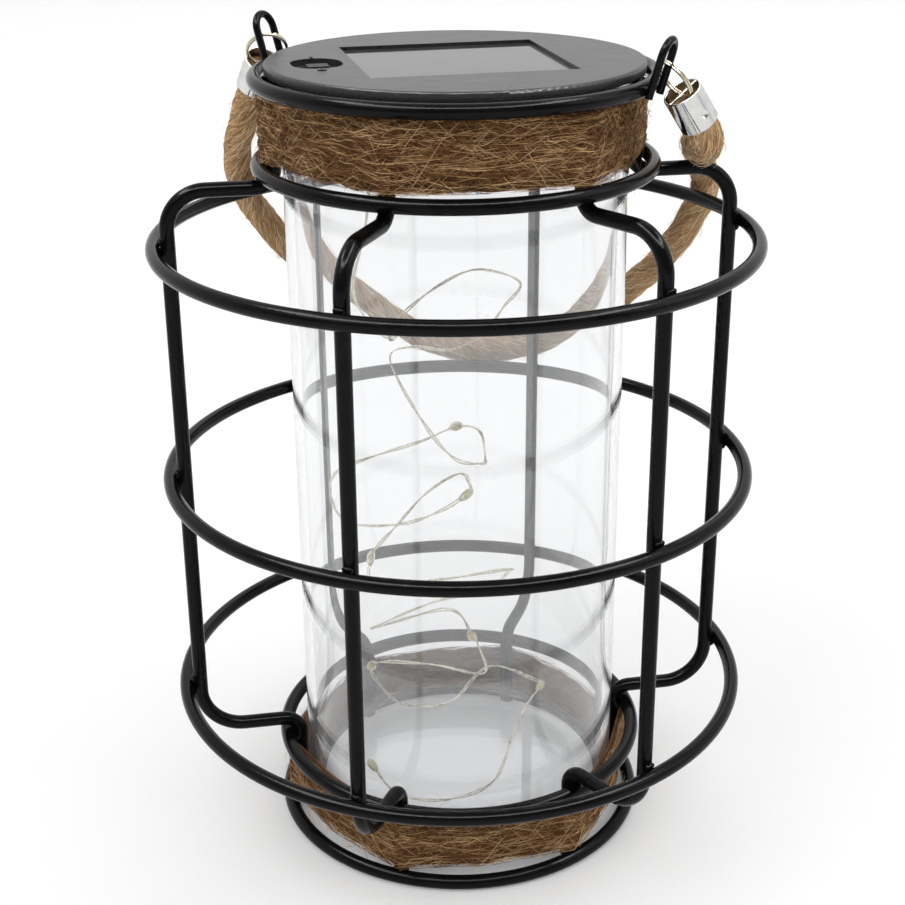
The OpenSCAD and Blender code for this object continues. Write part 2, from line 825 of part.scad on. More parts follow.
module string_lights() {
    color("#efe6c4")
        for (i = light_spots)
            translate(string_points[i])
                sphere(d = light_d);
}

module rope_handle() {
    color("#8f6a41")
        tube_along(rope_points, rope_d / 2, 10);
}

module rope_cap(side) {
    cap_place(side)
        translate([0, mouth_out, 0])
            rotate([-90, 0, 0])
                difference() {
                    rotate_extrude()
                        union() {
                            translate([cap_id / 2, cap_wall / 2])
                                square([cap_wall, cap_len - cap_wall]);
                            translate([cap_id / 2 + cap_wall / 2, cap_wall / 2])
                                circle(d = cap_wall, $fn = 24);
                            translate([cap_id / 2 + cap_wall / 2, cap_len - cap_wall / 2])
                                circle(d = cap_wall, $fn = 24);
                        }
                    translate([0, 0, pin_out - mouth_out])
                        rotate([90, 0, 0])
                            cylinder(h = cap_od + 2, d = pin_d, center = true, $fn = 32);
                    translate([side * (cap_od / 2 + 2 - dent_depth), 0, cap_len * 0.62])
                        sphere(r = 2);
                }
}

module left_rope_cap() {
    color("#d4d6da")
        rope_cap(-1);
}

module right_rope_cap() {
    color("#d4d6da")
        rope_cap(1);
}

module cap_pin(side) {
    cap_place(side)
        translate([0, pin_out, 0])
            cylinder(h = cap_od - 0.2, d = pin_d, center = true, $fn = 32);
}

module left_cap_pin() {
    color("#b9bbc0")
        cap_pin(-1);
}

module right_cap_pin() {
    color("#b9bbc0")
        cap_pin(1);
}

module split_ring(side) {
    link_place(side)
        rotate_extrude()
            for (s = [-1, 1])
                translate([link_r, s * (ring_wire / 2 - 0.02)])
                    circle(d = ring_wire, $fn = 32);
}

module left_split_ring() {
    color("#c9cbd0")
        split_ring(-1);
}

module right_split_ring() {
    color("#c9cbd0")
        split_ring(1);
}

top_ring();
neck_ring();
upper_hoop();
middle_hoop();
lower_hoop();
base_ring();
foot_ring();
jar_rest_ring();
rib_1();
rib_2();
rib_3();
rib_4();
rib_5();
rib_6();
left_eyelet();
right_eyelet();
neck_jute_wrap();
base_jute_wrap();
glass_jar();
lid_shell();
solar_cell();
panel_window();
lid_seal();
lid_underside();
lid_screws();
circuit_board();
switch_case();
switch_slider();
switch_marks();
battery();
battery_spring();
battery_contact();
battery_door();
battery_door_screw();
wire_grommet();
light_string();
string_lights();
rope_handle();
left_rope_cap();
right_rope_cap();
left_cap_pin();
right_cap_pin();
left_split_ring();
right_split_ring();
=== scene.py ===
# %% [markdown]
# # A jar lantern in a wire cage
# The lantern is a clear glass cylinder that stands in a cage of black wire. Two bands of jute go round
# the cage at its neck and foot, a black lid with a solar cell closes the jar, a string of tiny lights
# hangs inside, and a jute rope is the handle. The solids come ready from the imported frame, at their
# real places in metres. This file gives each of them its finish, and makes the pieces that only a
# mesh can show well: rope, twine, loose fibres, wires, light drops and weld beads.

# %% Load the solids
import math
import bpy
import numpy as np
from mathutils import Matrix


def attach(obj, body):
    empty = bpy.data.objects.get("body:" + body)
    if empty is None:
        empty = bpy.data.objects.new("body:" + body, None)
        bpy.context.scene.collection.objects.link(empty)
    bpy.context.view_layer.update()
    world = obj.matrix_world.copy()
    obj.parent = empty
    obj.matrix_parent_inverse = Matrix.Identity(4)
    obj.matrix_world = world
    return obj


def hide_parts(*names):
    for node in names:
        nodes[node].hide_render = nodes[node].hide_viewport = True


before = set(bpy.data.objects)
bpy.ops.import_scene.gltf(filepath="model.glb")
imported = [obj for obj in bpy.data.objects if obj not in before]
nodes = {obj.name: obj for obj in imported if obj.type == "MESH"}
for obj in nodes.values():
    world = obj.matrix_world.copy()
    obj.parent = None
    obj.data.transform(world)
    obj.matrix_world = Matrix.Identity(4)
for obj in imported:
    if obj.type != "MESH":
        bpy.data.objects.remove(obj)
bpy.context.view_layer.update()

mm = 0.001

# %% [markdown]
# ## The camera
# The lantern is seen from a little above its lid, so that the rings show as ellipses. The camera is set
# by its place, how far it looks down and aside, and a small roll. Its three axes are worked out as
# vectors and put into one matrix, which keeps every angle in view in one cell.

# %% Camera
pitch, yaw, roll = (math.radians(a) for a in (22.58, -0.19, -0.43))
eye_place = (0, -0.4261, 0.2871)
sensor_width, focal_pixels, picture_pixels = 36.0, 1637, 905
forward = np.array([math.sin(yaw) * math.cos(pitch), math.cos(yaw) * math.cos(pitch), -math.sin(pitch)])
level = np.array([math.cos(yaw), -math.sin(yaw), 0.0])
upward = np.cross(level, forward)
across = level * math.cos(roll) + upward * math.sin(roll)
above = upward * math.cos(roll) - level * math.sin(roll)
eye_data = bpy.data.cameras.new("eye")
eye_data.sensor_width = sensor_width
eye_data.lens = sensor_width * focal_pixels / picture_pixels
eye = bpy.data.objects.new("eye", eye_data)
bpy.context.scene.collection.objects.link(eye)
turned = np.eye(4)
turned[:3, 0], turned[:3, 1], turned[:3, 2], turned[:3, 3] = across, above, -forward, eye_place
eye.matrix_world = Matrix(turned.tolist())
bpy.context.scene.camera = eye
bpy.context.scene.view_settings.view_transform = "Standard"
print("lens:", round(eye_data.lens, 2), "mm")

# %% [markdown]
# ## A line, its frames, and a mesh of a grid
# Rope, wire and fibre are all made the same way: a smooth line through a few points, a pair of side
# vectors at every station, and a ring of points round each station. A grid of points then becomes a
# mesh of quads. Curves with a round bevel would be quicker, but can't be given strands or a twist.

# %% A smooth line at even steps
def smooth_line(points, step):
    """The places of a smooth line at even steps, and their distance along it.

    Between two points each coordinate is the cubic that leaves and arrives along the chord of its
    neighbours. The line is then cut at even steps of its own length.
    """
    cuts = 24
    p = np.asarray(points, float) * mm
    q = np.vstack([2 * p[0] - p[1], p, 2 * p[-1] - p[-2]])
    t = np.linspace(0, 1, cuts, endpoint=False)[None, :, None]
    a, b, c, d = q[:-3, None], q[1:-2, None], q[2:-1, None], q[3:, None]
    line = 0.5 * (2 * b + (c - a) * t + (2 * a - 5 * b + 4 * c - d) * t**2 + (3 * b - a - 3 * c + d) * t**3)
    line = np.vstack([line.reshape(-1, 3), p[-1]])
    run = np.r_[0, np.cumsum(np.linalg.norm(np.diff(line, axis=0), axis=1))]
    along = np.linspace(0, run[-1], int(round(run[-1] / step)) + 1)
    return np.stack([np.interp(along, run, line[:, k]) for k in range(3)], 1), along


def unit(v):
    """Vectors divided by their length."""
    return v / np.maximum(np.linalg.norm(v, axis=-1, keepdims=True), 1e-12)


def side_vectors(line):
    """Two vectors square to the line at each station.

    Each pair is the last one with what now leans along the line taken off, so the pairs don't spin.
    It needs a step from station to station, and none over the points of the mesh.
    """
    ahead = unit(np.gradient(line, axis=0))
    side = np.empty_like(line)
    start = np.cross(ahead[0], (0.3, 0.2, 1.0))
    for k, way in enumerate(ahead):
        start = start - way * (start @ way)
        start = start / np.linalg.norm(start)
        side[k] = start
    return side, np.cross(ahead, side)


# %% A mesh from a grid of points
def mesh_object(name, points, faces):
    """Puts the points and faces in a mesh with smooth shading, and its object in the scene."""
    mesh = bpy.data.meshes.new(name)
    mesh.from_pydata(np.asarray(points).tolist(), [], faces)
    mesh.polygons.foreach_set("use_smooth", np.full(len(mesh.polygons), True))
    mesh.update()
    piece = bpy.data.objects.new(name, mesh)
    bpy.context.scene.collection.objects.link(piece)
    return piece


def loft_faces(n, m, closed=False):
    """Quads of n rings of m points, each ring joined to the next.

    Where closed, the last ring is joined to the first. Otherwise a fan to one more point closes each
    end, and those two points come after the rings.
    """
    u = np.arange(n if closed else n - 1)[:, None]
    v = np.arange(m)[None, :]
    nxt, w = (u + 1) % n, (v + 1) % m
    faces = np.stack([u * m + v, u * m + w, nxt * m + w, nxt * m + v], -1).reshape(-1, 4).tolist()
    if not closed:
        k = np.arange(m)
        tail, tip = n * m, n * m + 1
        last = (n - 1) * m
        faces += np.stack([np.full(m, tail), (k + 1) % m, k], 1).tolist()
        faces += np.stack([np.full(m, tip), last + k, last + (k + 1) % m], 1).tolist()
    return faces


def loft(name, rings, closed=False):
    """A closed skin over a stack of rings, rings[i, j] being point j of ring i.

    Its volume is worked out from its faces, and where that is below nothing the faces are turned round.
    """
    n, m = rings.shape[:2]
    points = rings.reshape(-1, 3)
    if not closed:
        points = np.vstack([points, rings[0].mean(0), rings[-1].mean(0)])
    faces = loft_faces(n, m, closed=closed)
    quads = np.array([f if len(f) == 4 else f + [f[0]] for f in faces])
    a, b, c, d = (points[quads[:, k]] for k in range(4))
    if (np.einsum("ij,ij->i", a, np.cross(b, c)) + np.einsum("ij,ij->i", a, np.cross(c, d))).sum() < 0:
        faces = [f[::-1] for f in faces]
    return mesh_object(name, points, faces)


def joined(name, parts):
    """One object of several, with their meshes one after another."""
    points, faces, count = [], [], 0
    for part in parts:
        co = np.empty(len(part.data.vertices) * 3)
        part.data.vertices.foreach_get("co", co)
        points.append(co.reshape(-1, 3))
        faces += [[i + count for i in p.vertices] for p in part.data.polygons]
        count += len(co) // 3
        bpy.data.meshes.remove(part.data)
    return mesh_object(name, np.vstack(points), faces)


def paint(piece, name, values):
    """A number or a vector for each point of the mesh, which its material reads by that name."""
    values = np.asarray(values, np.float32)
    kind, key = ("FLOAT_VECTOR", "vector") if values.ndim == 2 else ("FLOAT", "value")
    piece.data.attributes.new(name, kind, "POINT").data.foreach_set(key, values.ravel())


# %% [markdown]
# ## The rope handle
# The handle is one length of soft jute rope, about 350 mm, that hangs from two split rings and falls
# behind the jar. Rope is three strands laid round each other, so its section is a circle with
# three shallow lobes, and the section turns as it goes along. The strands are only just told apart,
# because jute is hairy: the hair comes in a later cell.

# %% Rope: the line it hangs in
rope_d, rope_lay, rope_sides = 8.6 * mm, 46 * mm, 56
rope_points = [
    [56.8, -21.5, 212.3], [58.6, -20.5, 209.5], [61.6, -18.9, 204.6], [63.3, -15.6, 200.7],
    [64, -8.5, 197.9], [64.2, 1, 196.6], [64.8, 12, 195.4], [66.4, 24, 191.6], [69, 35, 186.2],
    [71.8, 43, 180.5], [73, 49, 172.5], [70.6, 52.8, 164.5], [66.8, 56.4, 156], [61, 62, 146],
    [54.7, 67.7, 138], [45.5, 74.2, 127.5], [36.8, 78.9, 120], [27, 82.8, 115], [17.3, 85.3, 112.4],
    [7.6, 86.9, 111.4], [-2.3, 87.2, 112.5], [-12.1, 86.3, 116], [-21.8, 84.3, 122.5],
    [-31.2, 81.2, 130], [-39.9, 77.3, 137.5], [-47.4, 73, 145], [-53.2, 69.4, 152],
    [-58.2, 65.8, 159.5], [-62.2, 62.6, 167], [-64.6, 58.6, 175], [-64.4, 52.4, 183.5],
    [-62.2, 45.6, 191.5], [-59.3, 39.7, 199], [-56.9, 35.9, 205.1], [-54.7, 32.9, 209.8],
    [-53.5, 31.1, 212.5],
]
rope_line, rope_run = smooth_line(rope_points, 0.7 * mm)
rope_side, rope_up = side_vectors(rope_line)
rope_turn = 2 * math.pi / rope_lay
print("rope length:", round(rope_run[-1] * 1000), "mm")

# %% Rope: three soft strands
def strand_radius(turned, distance):
    """Half the rope's width at an angle from its own strands.

    It is a circle, less a shallow dip between each two strands, with a slow swell along it and finer
    ridges of yarn.
    """
    strands, yarns = 3, 17
    lobes = 0.5 + 0.5 * np.cos(strands * turned)
    yarn = np.cos(yarns * turned + 3 * np.sin(distance / (9 * mm)))
    swell = np.sin(distance / (13 * mm)) + 0.6 * np.sin(distance / (5.3 * mm) + 2)
    return rope_d / 2 * (0.895 + 0.075 * lobes + 0.012 * yarn + 0.014 * swell)


angle = np.linspace(0, 2 * math.pi, rope_sides, endpoint=False)[None, :]
own = angle - rope_turn * rope_run[:, None]
reach = strand_radius(own, rope_run[:, None])
rings = rope_line[:, None] + reach[..., None] * (
    np.cos(angle)[..., None] * rope_side[:, None] + np.sin(angle)[..., None] * rope_up[:, None]
)
rope = loft("rope_strands", rings)
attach(rope, "handle")
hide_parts("rope_handle")
along = np.repeat(rope_run[:, None], rope_sides, 1)
lay = np.stack([along, reach * np.cos(own), reach * np.sin(own)], -1).reshape(-1, 3)
paint(rope, "lay", np.vstack([lay, lay[:1], lay[-1:]]))
print("rope faces:", len(rope.data.polygons))

# %% [markdown]
# ## Loose fibres
# Jute looks like jute because of its fibres: thousands of fine flat hairs, most along the strand and
# some standing off it. Particle hair isn't a mesh, and a bump can't break the outline, so every fibre
# is a thin three-sided spindle. All are worked out at once as arrays: a middle line for each, then
# three points round each station, and one point at each tip, a little past the last station.

# %% Spindles along many lines
fibre_stations = 6


def fibre_mesh(name, middles, thick, shade):
    """Fibres along middles[i, k], station k of fibre i.

    A fibre is thick in its middle and thins to its tips as the root of a sine, and its sides stand
    round its line, square to it.
    """
    n, k = middles.shape[:2]
    sides = 3
    each = sides * k + 2
    ahead = unit(np.gradient(middles, axis=1))
    any_way = np.random.default_rng(5).normal(size=(n, 1, 3))
    side = unit(np.cross(ahead, any_way))
    up = np.cross(ahead, side)
    taper = np.sqrt(np.sin(np.linspace(0.12, math.pi - 0.12, k)))[None, :] * thick[:, None] / 2
    turns = np.arange(sides) * 2 * math.pi / sides
    ring = middles[:, :, None] + taper[..., None, None] * (
        np.cos(turns)[:, None] * side[:, :, None] + np.sin(turns)[:, None] * up[:, :, None]
    )
    first_tip = 1.06 * middles[:, 0] - 0.06 * middles[:, 1]
    last_tip = 1.06 * middles[:, -1] - 0.06 * middles[:, -2]
    points = np.concatenate([ring.reshape(n, k * sides, 3), np.stack([first_tip, last_tip], 1)], 1)
    one = loft_faces(k, sides)
    quads = np.array([f for f in one if len(f) == 4])
    fans = np.array([f for f in one if len(f) == 3])
    start = (np.arange(n) * each)[:, None, None]
    faces = (quads + start).reshape(-1, 4).tolist() + (fans + start).reshape(-1, 3).tolist()
    piece = mesh_object(name, points.reshape(-1, 3), [f[::-1] for f in faces])
    paint(piece, "shade", np.repeat(shade, each))
    print(name, n, "fibres,", len(faces), "faces")
    return piece


def at(distance, run, columns):
    """Rows of a table looked up between its stations."""
    return np.stack([np.interp(distance, run, columns[:, c]) for c in range(columns.shape[1])], -1)


# %% Rope: the fibres on it
def rope_fibres(name, count, seed, long, lift, stray, thick):
    """Each fibre starts at a random place round the rope and follows the lay of the strands.

    It has its own lean, and a few lean steeply. Its height over the rope is a low arch, and a stray
    one leaves at a slant.
    """
    rng = np.random.default_rng(seed)
    steep_share = 0.14
    t = np.linspace(-0.5, 0.5, fibre_stations)[None, :]
    half = rng.uniform(*long, (count, 1)) * mm
    middle = rng.uniform(2.8 * mm, rope_run[-1] - 2.8 * mm, (count, 1))
    distance = np.clip(middle + half * t, 1.5 * mm, rope_run[-1] - 1.5 * mm)
    lean = rng.normal(0, 0.3, (count, 1))
    lean = lean + rng.normal(0, 1.1, (count, 1)) * (rng.random((count, 1)) < steep_share)
    own_angle = rng.uniform(0, 2 * math.pi, (count, 1)) + lean * half * t / (rope_d / 2)
    own_angle = own_angle + 0.12 * np.sin(9 * t + rng.uniform(0, 6, (count, 1)))
    arch = np.abs(rng.normal(0, lift, (count, 1))) * mm * np.cos(math.pi * t) - 0.12 * mm
    away = stray * rng.uniform(0.4, 1, (count, 1)) * mm * (t + 0.5) ** 1.6
    around = own_angle + rope_turn * distance
    radius = strand_radius(own_angle, distance) + arch + away
    place = at(distance, rope_run, rope_line)
    middles = place + radius[..., None] * (
        np.cos(around)[..., None] * at(distance, rope_run, rope_side)
        + np.sin(around)[..., None] * at(distance, rope_run, rope_up)
    )
    piece = fibre_mesh(name, middles, rng.uniform(*thick, count) * mm, rng.random(count))
    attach(piece, "handle")
    return piece


rope_down = rope_fibres("rope_fibres", 5200, 11, (5, 14), 0.16, 0.0, (0.1, 0.24))
rope_hair = rope_fibres("rope_hair", 560, 12, (4, 10), 0.3, 2.0, (0.07, 0.13))
rope_pieces = [rope_down, rope_hair]

# %% [markdown]
# ## The wire of the light string
# The lights hang on two hair-thin bare wires that run side by side and cross over now and then. The
# path drops from the grommet under the lid in slack loops down to the floor of the jar. Each wire is
# a round section carried along the same line, set off to its own side by an angle that turns slowly.

# %% Light string: its line
string_points = [
    [-21.1, -15.9, 209.8], [-21, -19, 209.6], [-20.9, -21, 207.8], [-20.9, -21, 201], [-21.5, -21.5, 190],
    [-23, -22, 179], [-26, -24, 166.5], [-23.5, -22, 157.5], [-18.5, -17, 150.5], [-16.5, -15, 150.5],
    [-14.5, -12, 154.5], [-4.5, -6, 161], [6, 0, 163.5], [17.5, 6, 158], [13, 12, 149], [7.5, 16, 140],
    [-2, 14, 136], [-11.5, 8, 139], [-18, -2, 140.5], [-16, -10, 136], [-7.5, -18, 124], [-0.5, -22, 117.5],
    [6.5, -17, 114], [7.5, -14.5, 114.5], [6, -8, 120], [-0.5, 0, 118], [-10.5, 8, 110.5], [-26, 14, 103],
    [-35, 6, 102], [-36, -4, 99.5], [-30.5, -12, 94.5], [-16, -20, 97.5], [-5, -26, 104], [2.5, -22.5, 107.5],
    [3.5, -20, 108.5], [0.5, -12, 109], [-9, -4, 99.5], [-17.5, 6, 85.5], [-25, 11.5, 74.5], [-26, 10.5, 72],
    [-25, 4, 67], [-5, -8, 74.5], [13, -19, 83], [13.5, -21.5, 83.5], [8, -28, 82], [-7.5, -30, 78.5],
    [-22.5, -24.5, 68.5], [-22, -23, 67.5], [-2.5, -14, 68], [4, -7, 55.5], [5.5, -8, 53.5], [7, -18, 49.5],
    [-8, -30, 59.5], [-24.5, -20, 53.5], [-17.5, -8, 34], [-3, 6, 25.5], [9.5, 18, 31], [24.5, 16, 27],
    [25.5, 14.5, 26], [20, 4, 24.5], [15.5, -12, 24.5], [9.5, -24, 17], [-4, -27, 13], [-18, -22, 12],
    [-27, -9, 15],
]
light_spots = [9, 25, 33, 39, 49, 53, 58, 64]
string_line, string_run = smooth_line(string_points, 0.9 * mm)
string_side, string_up = side_vectors(string_line)
print("string length:", round(string_run[-1] * 1000), "mm")

# %% Light string: two wires side by side
def wire_along(name, phase):
    """A round wire whose middle stands off the line, on a side that turns once in about 30 mm."""
    offset, thick, sides = 0.36 * mm, 0.42 * mm, 7
    turn = phase + string_run / (5 * mm) + 1.2 * np.sin(string_run / (17 * mm))
    out = np.cos(turn)[:, None] * string_side + np.sin(turn)[:, None] * string_up
    spread = offset * (0.75 + 0.25 * np.cos(string_run / (11 * mm)))
    middle = string_line + spread[:, None] * out
    other = np.cross(unit(np.gradient(string_line, axis=0)), out)
    round_it = np.linspace(0, 2 * math.pi, sides, endpoint=False)
    rings = middle[:, None] + thick / 2 * (
        np.cos(round_it)[None, :, None] * out[:, None] + np.sin(round_it)[None, :, None] * other[:, None]
    )
    return loft(name, rings)


light_wire = joined("light_wire", [wire_along("w1", 0.0), wire_along("w2", math.pi)])
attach(light_wire, "lid")
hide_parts("light_string")
print("wire faces:", len(light_wire.data.polygons))

# %% [markdown]
# ## The lights on the string
# Each light is a chip smaller than a grain of rice, sealed with its wires in a drop of clear resin.
# The drop is a spindle along the string, fuller on one side where the resin ran. The chip is a rounded
# block inside it, made as a superellipsoid: a ball whose cosines and sines are raised to a small power.

# %% Resin drops and chips
def drop_mesh(name, size, belly, square):
    """A ball at every light, stretched along the string.

    size is half its length and half its two widths, belly pushes one side out, most in its middle,
    and square below 1 makes the ball a rounded block.
    """
    made = []
    knots = np.asarray(string_points)[light_spots] * mm
    near = np.abs(string_line[None] - knots[:, None]).sum(-1).argmin(1)
    near = np.clip(near, 3, len(string_line) - 4)
    way = unit(string_line[near + 2] - string_line[near - 2])
    south = np.linspace(-math.pi / 2, math.pi / 2, 15)[1:-1, None]
    east = np.linspace(0, 2 * math.pi, 22, endpoint=False)[None, :]

    def power(x):
        return np.sign(x) * np.abs(x) ** square

    for k, index in enumerate(near):
        side = unit(string_side[index] - way[k] * (string_side[index] @ way[k]))
        up = np.cross(way[k], side)
        length = power(np.sin(south)) * size[0] * (1 + 0.08 * math.sin(3 * k))
        wide = power(np.cos(south))
        y = wide * power(np.cos(east)) * size[1] + belly * np.cos(south) ** 2
        z = wide * power(np.sin(east)) * size[2]
        rings = string_line[index] + length[..., None] * way[k] + y[..., None] * side + z[..., None] * up
        made.append(loft("drop", rings))
    return joined(name, made)


light_drops = drop_mesh("light_drops", (2.5 * mm, 1.35 * mm, 1.2 * mm), 0.25 * mm, 1.0)
light_chips = drop_mesh("light_chips", (0.8 * mm, 0.55 * mm, 0.5 * mm), 0.1 * mm, 0.35)
for piece in (light_drops, light_chips):
    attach(piece, "lid")
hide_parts("string_lights")
print("lights:", len(light_spots))

# %% [markdown]
# ## The two jute bands
# A band is one twine wound round and round the six posts of the cage. Seen from above it is a hexagon
# with round corners, bulging a little where it lies on the glass. The outline is the outer edge of six
# small circles and a big one: for each direction, whichever of them reaches furthest gives the point.

# %% Bands: the outline round the posts
post_r, post_round, glass_round = 47.65 * mm, 3.8 * mm, 47.5 * mm
first_rib, rib_step, rib_count = -110, 60, 6
first_post, post_step = math.radians(first_rib), math.radians(rib_step)
twine_pitch, twine_stand, twine_sunk = 2.3 * mm, 0.85 * mm, 0.75 * mm
directions, band_stations, outer_rows, inner_rows = 4320, 960, 64, 6
normal = np.linspace(0, 2 * math.pi, directions, endpoint=False) + post_step
post_angle = first_post + np.round((normal - first_post) / post_step) * post_step
face_way = np.stack([np.cos(normal), np.sin(normal)], 1)
post_at = post_r * np.stack([np.cos(post_angle), np.sin(post_angle)], 1)
corner_wins = (post_at * face_way).sum(1) + post_round > glass_round
outline = np.where(corner_wins[:, None], post_at + post_round * face_way, glass_round * face_way)
outline = np.vstack([outline, outline[:1]])
outline_run = np.r_[0, np.cumsum(np.linalg.norm(np.diff(outline, axis=0), axis=1))]
band_length = outline_run[-1]
band_run = np.linspace(0, band_length, band_stations + 1)
band_edge = at(band_run, outline_run, outline)
smoothing = np.hanning(9)[1:-1] / np.hanning(9)[1:-1].sum()
around_edge = np.vstack([band_edge[-4:-1], band_edge, band_edge[1:4]])
band_edge = np.stack([np.convolve(around_edge[:, c], smoothing, "valid") for c in range(2)], 1)
band_way = unit(np.gradient(np.vstack([band_edge[-2], band_edge, band_edge[1]]), axis=0)[1:-1])
band_out = np.stack([band_way[:, 1], -band_way[:, 0]], 1)
print("band outline:", round(band_length * 1000, 1), "mm round")

# %% Bands: turns of twine
def turn_height(distance, height, pitch, seed):
    """How far a turn of twine stands out: half a circle over each pitch, a little uneven.

    The line of the twine climbs one pitch each time round, and wanders up and down.
    """
    wander = 0.28 * np.sin(distance / (9 * mm) + seed) + 0.2 * np.sin(distance / (4.1 * mm) + 2 * seed)
    wander = wander + 0.22 * np.sin(height / (3.7 * mm) + distance / (21 * mm))
    place = height / pitch + distance / band_length + wander
    across_turn = 2 * (place - np.floor(place)) - 1
    uneven = np.sin(distance / (2.7 * mm) + 11 * np.floor(place)) * np.sin(distance / (7 * mm) + 5 * seed)
    return np.sqrt(np.maximum(1 - across_turn**2, 0.0)) * twine_stand + 0.1 * mm * uneven


def band(name, low, high, replaced, seed):
    """A ring with the outline as its path.

    Its section is an upright strip: the outer side rises in turns of twine and rounds in at both
    edges, and the inner side is plain.
    """
    rows = np.linspace(0, 1, outer_rows)
    height = low + (high - low) * rows
    fringe = 0.25 * mm * np.sin(band_run / (3.3 * mm) + seed) + 0.2 * mm * np.sin(band_run / (1.9 * mm))
    edge = 1 - np.abs(2 * rows - 1) ** 14
    stand = turn_height(band_run[:-1, None], height[None, :], twine_pitch, seed) - twine_sunk
    stand = stand * edge - 1.0 * mm * (1 - edge)
    lift = fringe[:-1, None] * (2 * rows - 1)[None, :] ** 3
    outer = np.concatenate([
        band_edge[:-1, None] + stand[..., None] * band_out[:-1, None],
        np.repeat(height[None, :, None], band_stations, 0) + lift[..., None],
    ], -1)
    back = np.linspace(1, 0, inner_rows)[None, :, None]
    inner = np.concatenate([
        np.repeat(band_edge[:-1, None] - 1.6 * mm * band_out[:-1, None], inner_rows, 1),
        np.repeat(low + (high - low) * back, band_stations, 0),
    ], -1)
    rings = np.concatenate([outer, inner], 1)
    piece = loft(name, rings, closed=True)
    s = band_run[:-1, None] / band_length * 2 * math.pi
    wide = band_length / (2 * math.pi)
    lay = np.stack([
        wide * np.cos(s) + 0 * rings[..., 2], wide * np.sin(s) + 0 * rings[..., 2], rings[..., 2],
    ], -1)
    paint(piece, "lay", lay.reshape(-1, 3))
    # Marks the inner rows, which the twine finish paints paler as painted light on a side in shade.
    paint(piece, "inside", np.tile(np.r_[np.zeros(outer_rows), np.ones(inner_rows)], band_stations))
    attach(piece, "cage")
    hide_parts(replaced)
    print(name, len(piece.data.polygons), "faces")
    return piece


neck_low, neck_high, neck_seed = 195.5 * mm, 213.2 * mm, 1.0
base_low, base_high, base_seed = 4.3 * mm, 21.7 * mm, 4.0
neck_band = band("neck_band_turns", neck_low, neck_high, "neck_jute_wrap", neck_seed)
base_band = band("base_band_turns", base_low, base_high, "base_jute_wrap", base_seed)

# %% Bands: the fibres on them
def band_fibres(name, low, high, seed, turns_seed, count, long, messy, lift, stray, thick):
    """Each fibre lies along the band at its own height, with a small slope.

    The messy share slopes more. A fibre stands over the twine by a low arch, and a stray one leaves
    at a slant. None reaches the floor. Its tone is partly chance and partly clumps, and it is made
    darker in the grooves between turns, which is painted shade.
    """
    rng = np.random.default_rng(seed)
    edge_fray, least_height = 0.25 * mm, 0.5 * mm
    t = np.linspace(-0.5, 0.5, fibre_stations)[None, :]
    half = rng.uniform(*long, (count, 1)) * mm
    wild = rng.random((count, 1)) < messy
    slope = rng.normal(0, 0.05, (count, 1)) + wild * rng.normal(0, 0.75, (count, 1))
    distance = rng.uniform(0, band_length, (count, 1)) + half * t
    curl = rng.normal(0, 0.42, (count, 1)) * mm * np.cos(7 * t + rng.uniform(0, 6, (count, 1)))
    height = rng.uniform(low, high, (count, 1)) + slope * half * t + curl
    if stray == 0:
        height = np.clip(height, low - edge_fray, high + edge_fray)
    height = np.maximum(height, least_height)
    arch = np.abs(rng.normal(0, lift, (count, 1))) * mm * np.cos(math.pi * t) - 0.05 * mm
    away = stray * rng.uniform(0.3, 1, (count, 1)) * mm * (t + 0.5) ** 1.5
    distance = distance % band_length
    groove = turn_height(distance, np.clip(height, low, high), twine_pitch, turns_seed)
    stand = groove - twine_sunk + arch + away
    edge, out = at(distance, band_run, band_edge), at(distance, band_run, band_out)
    flat = edge + stand[..., None] * out
    far = distance.mean(1)
    clump = np.sin(far / (6.5 * mm) + 3 * seed) * np.sin(height.mean(1) / (1.1 * mm) + far / (9 * mm))
    # Painted shade: a fibre lying low in a groove between turns gets a darker number, as if shadowed; the
    # rest is chance and clumps of tone.
    shade = 0.78 * rng.random(count) + 0.55 * (groove.mean(1) / twine_stand - 0.55) + 0.16 * clump + 0.08
    middles = np.concatenate([flat, height[..., None]], -1)
    piece = fibre_mesh(name, middles, rng.uniform(*thick, count) * mm, np.clip(shade, 0, 1))
    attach(piece, "cage")
    return piece


band_hair = []
for title, low, high, seed, turns in (
    ("neck", neck_low, neck_high, 21, neck_seed),
    ("base", base_low, base_high, 31, base_seed),
):
    band_hair.append(band_fibres(
        title + "_band_fibres", low, high, seed, turns, 5000, (4, 15), 0.4, 0.15, 0.0, (0.08, 0.2)))
    band_hair.append(band_fibres(
        title + "_band_hair", low, high, seed + 1, turns, 300, (4, 13), 0.9, 0.5, 2.6, (0.06, 0.13)))

# %% [markdown]
# ## Weld beads on the cage
# The rings and ribs are crossed and spot-welded. A weld presses the wires into each other and leaves a
# small bead above and below the joint, or on one side at the highest and lowest rings, and the paint
# covers it. Each bead is a ball pushed in and out by a few waves. All crossings come from two lists:
# the heights of the rings and the turn of the ribs.

# %% Beads at the crossings
def beads(name, middles, ways, size):
    """Uneven balls at middles[i], longest along ways[i].

    size is half their width along, out and up. Their radius swells and dips by a few per cent.
    """
    south = np.linspace(-math.pi / 2, math.pi / 2, 11)[1:-1, None]
    east = np.linspace(0, 2 * math.pi, 16, endpoint=False)[None, :]
    made = []
    for k, (middle, way) in enumerate(zip(middles, ways)):
        up = np.array([0, 0, 1.0])
        out = np.cross(way, up)
        swell = 1 + 0.07 * np.sin(3 * east + k) * np.cos(south) + 0.05 * np.sin(4 * south + 2 * k)
        a = np.sin(south) * swell * size[0] + 0 * east
        b = np.cos(south) * np.cos(east) * swell * size[1]
        c = np.cos(south) * np.sin(east) * swell * size[2]
        rings = middle + a[..., None] * way + b[..., None] * out + c[..., None] * up
        made.append(loft("bead", rings))
    return joined(name, made)


